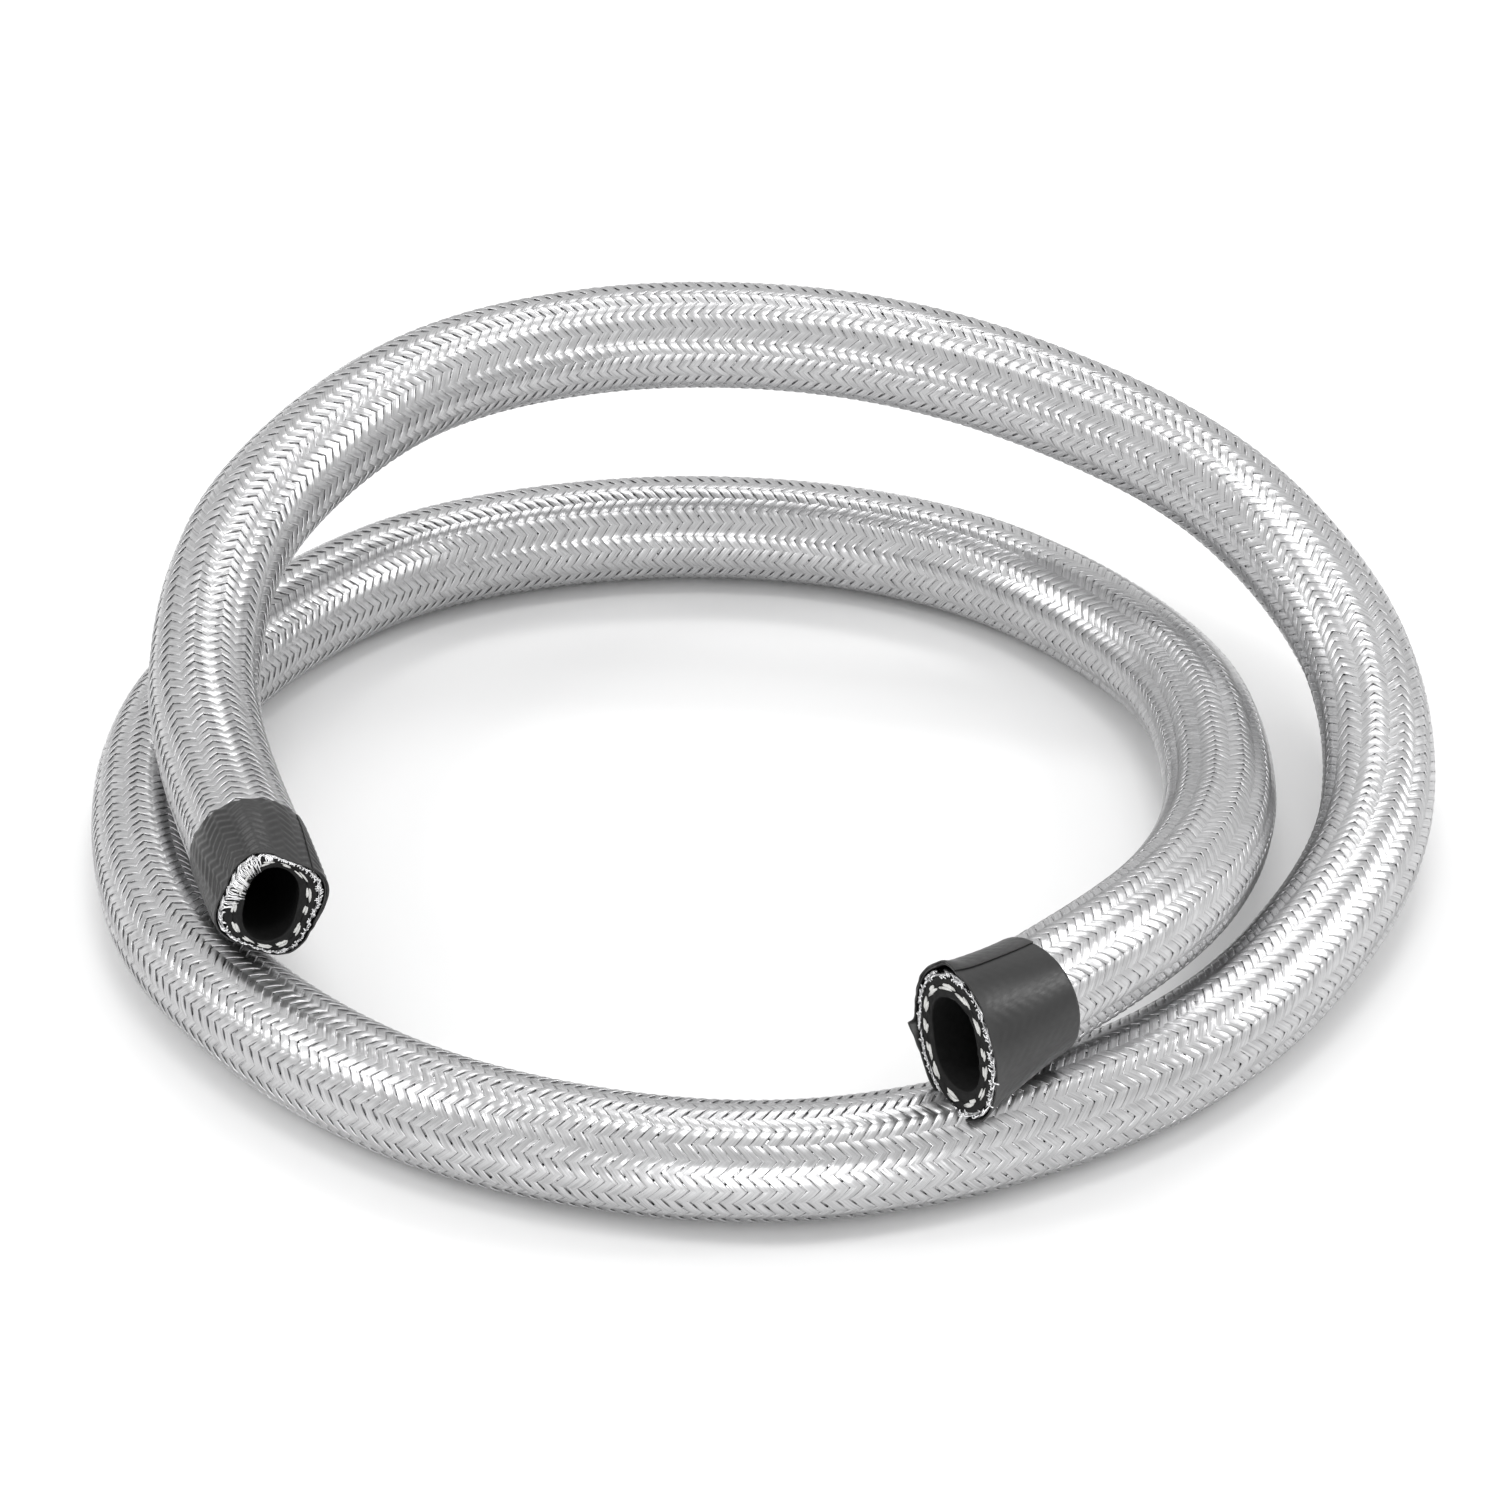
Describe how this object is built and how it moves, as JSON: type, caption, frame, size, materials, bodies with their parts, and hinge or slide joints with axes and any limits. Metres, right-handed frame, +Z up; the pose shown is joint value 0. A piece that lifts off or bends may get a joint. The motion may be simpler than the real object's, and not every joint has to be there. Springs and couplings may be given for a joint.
{
  "type": "braided hose",
  "caption": "Length of flexible rubber hose in a woven steel wire jacket, lying in a springy open coil, with tape bound round both cut ends.",
  "frame": {"origin": "on the floor, under the middle of the coil's bounding box", "axes": "+Z up from the floor the coil lies on, +X along the coil's widest side, towards the side where the hose climbs; both cut ends face -Y"},
  "size_m": [0.2389, 0.2154, 0.066],
  "materials": {
    "liner_rubber": "smooth moulded bore, matt where it is cut",
    "yarn": "white twisted textile yarn, cut ends showing",
    "cover_rubber": "matt where it is cut",
    "steel_wire": "bright drawn wire, flat plaits of parallel wires",
    "black_tape": "satin self-adhesive tape with a lap line",
    "grey_tape": "satin tape drawn tight, so that the plaits show through"
  },
  "bodies": {
    "root": {"rubber_liner": "liner_rubber", "yarn_braid": "yarn", "rubber_cover": "cover_rubber", "wire_braid": "steel_wire", "right_end_tape": "black_tape", "left_end_tape": "grey_tape"}
  },
  "joints": []
}
